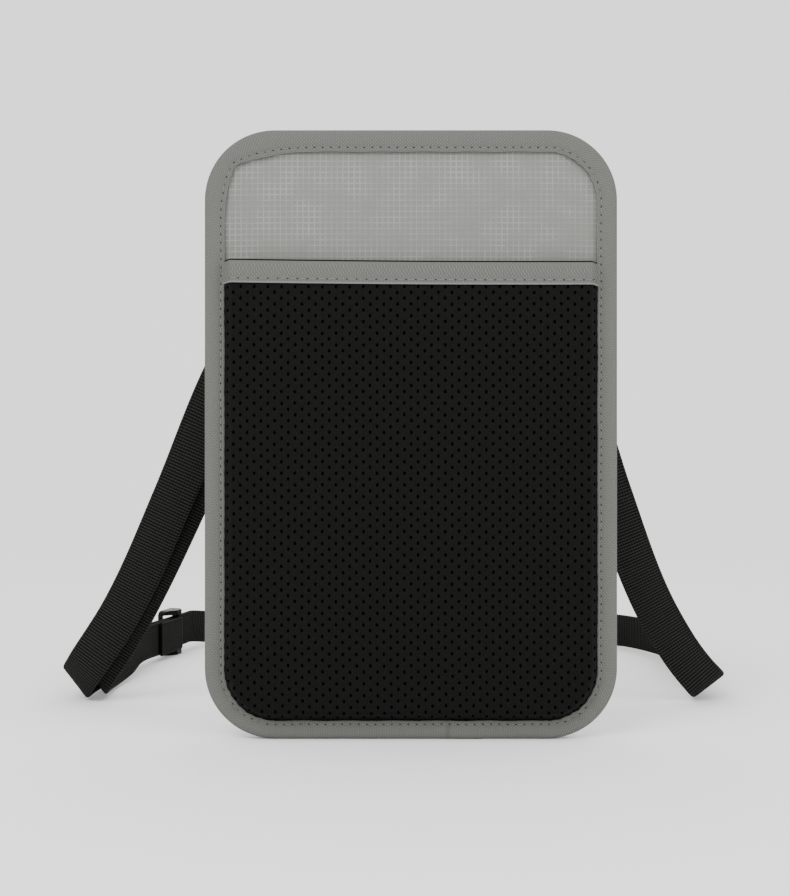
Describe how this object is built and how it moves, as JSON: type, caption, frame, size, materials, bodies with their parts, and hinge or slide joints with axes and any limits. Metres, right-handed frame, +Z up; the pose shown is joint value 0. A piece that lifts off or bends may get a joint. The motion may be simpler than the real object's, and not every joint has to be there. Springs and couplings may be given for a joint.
{
  "type": "neck pouch wallet",
  "caption": "Flat bound-edge neck pouch with a mesh slip pocket on the body side, zipped pockets on the outer side and an adjustable webbing neck strap.",
  "frame": {"origin": "middle of the lower edge of the binding, where the pouch stands on the surface, in the plane between the back panel and its lining", "axes": "+Z up the pouch's long side, +X across its width, +Y from the body side (mesh pocket) to the outer side (zips)"},
  "size_m": [0.2499, 0.2239, 0.1995],
  "materials": {
    "ripstop": "matte ripstop weave",
    "taffeta": "smooth lining weave",
    "airmesh": "matte spacer mesh",
    "binding_tape": "matte twill tape",
    "zip_tape": "woven tape",
    "nylon": "moulded nylon",
    "zinc": "black lacquer",
    "webbing": "ribbed webbing",
    "acetal": "gloss moulded"
  },
  "bodies": {
    "pouch": {"back_panel": "ripstop", "back_lining": "taffeta", "mesh_pocket": "airmesh", "mesh_pocket_hem": "binding_tape", "passport_sleeve": "taffeta", "card_pocket_lower": "taffeta", "card_pocket_upper": "taffeta", "front_pocket_bag": "taffeta", "front_lining": "taffeta", "front_lower_panel": "ripstop", "front_middle_panel": "ripstop", "front_upper_panel": "ripstop", "zip_end_tabs": "ripstop", "edge_binding": "binding_tape", "main_zip_tapes": "zip_tape", "main_zip_coil": "nylon", "main_zip_stops": "nylon", "front_zip_tapes": "zip_tape", "front_zip_coil": "nylon", "front_zip_stops": "nylon", "strap_tab": "webbing", "neck_strap": "webbing"},
    "main_slider": {"main_zip_slider": "zinc"},
    "main_puller": {"main_zip_puller": "zinc"},
    "front_slider": {"front_zip_slider": "zinc"},
    "front_puller": {"front_zip_puller": "zinc"},
    "ring": {"strap_ring": "acetal"},
    "glide": {"tri_glide": "acetal", "strap_end_loop": "webbing"}
  },
  "joints": [
    {"name": "main_zip_slide", "type": "slide", "parent": "pouch", "child": "main_slider", "axis": [-1, 0, 0], "range_m": [0, 0.098]},
    {"name": "main_puller_flip", "type": "hinge", "parent": "main_slider", "child": "main_puller", "pos_m": [0.049, 0.0092, 0.165], "axis": [0, 0, -1], "range_deg": [0, 170]},
    {"name": "front_zip_slide", "type": "slide", "parent": "pouch", "child": "front_slider", "axis": [-1, 0, 0], "range_m": [0, 0.098]},
    {"name": "front_puller_flip", "type": "hinge", "parent": "front_slider", "child": "front_puller", "pos_m": [0.049, 0.0092, 0.108], "axis": [0, 0, -1], "range_deg": [0, 170]},
    {"name": "ring_swing", "type": "hinge", "parent": "pouch", "child": "ring", "pos_m": [-0.03447, 0.0118, 0.18246], "axis": [0.9272, 0, -0.3746], "range_deg": [-7, 7]},
    {"name": "tri_glide_slide", "type": "slide", "parent": "pouch", "child": "glide", "axis": [0.2419, 0.9703, 0], "range_m": [-0.008, 0.008]}
  ]
}
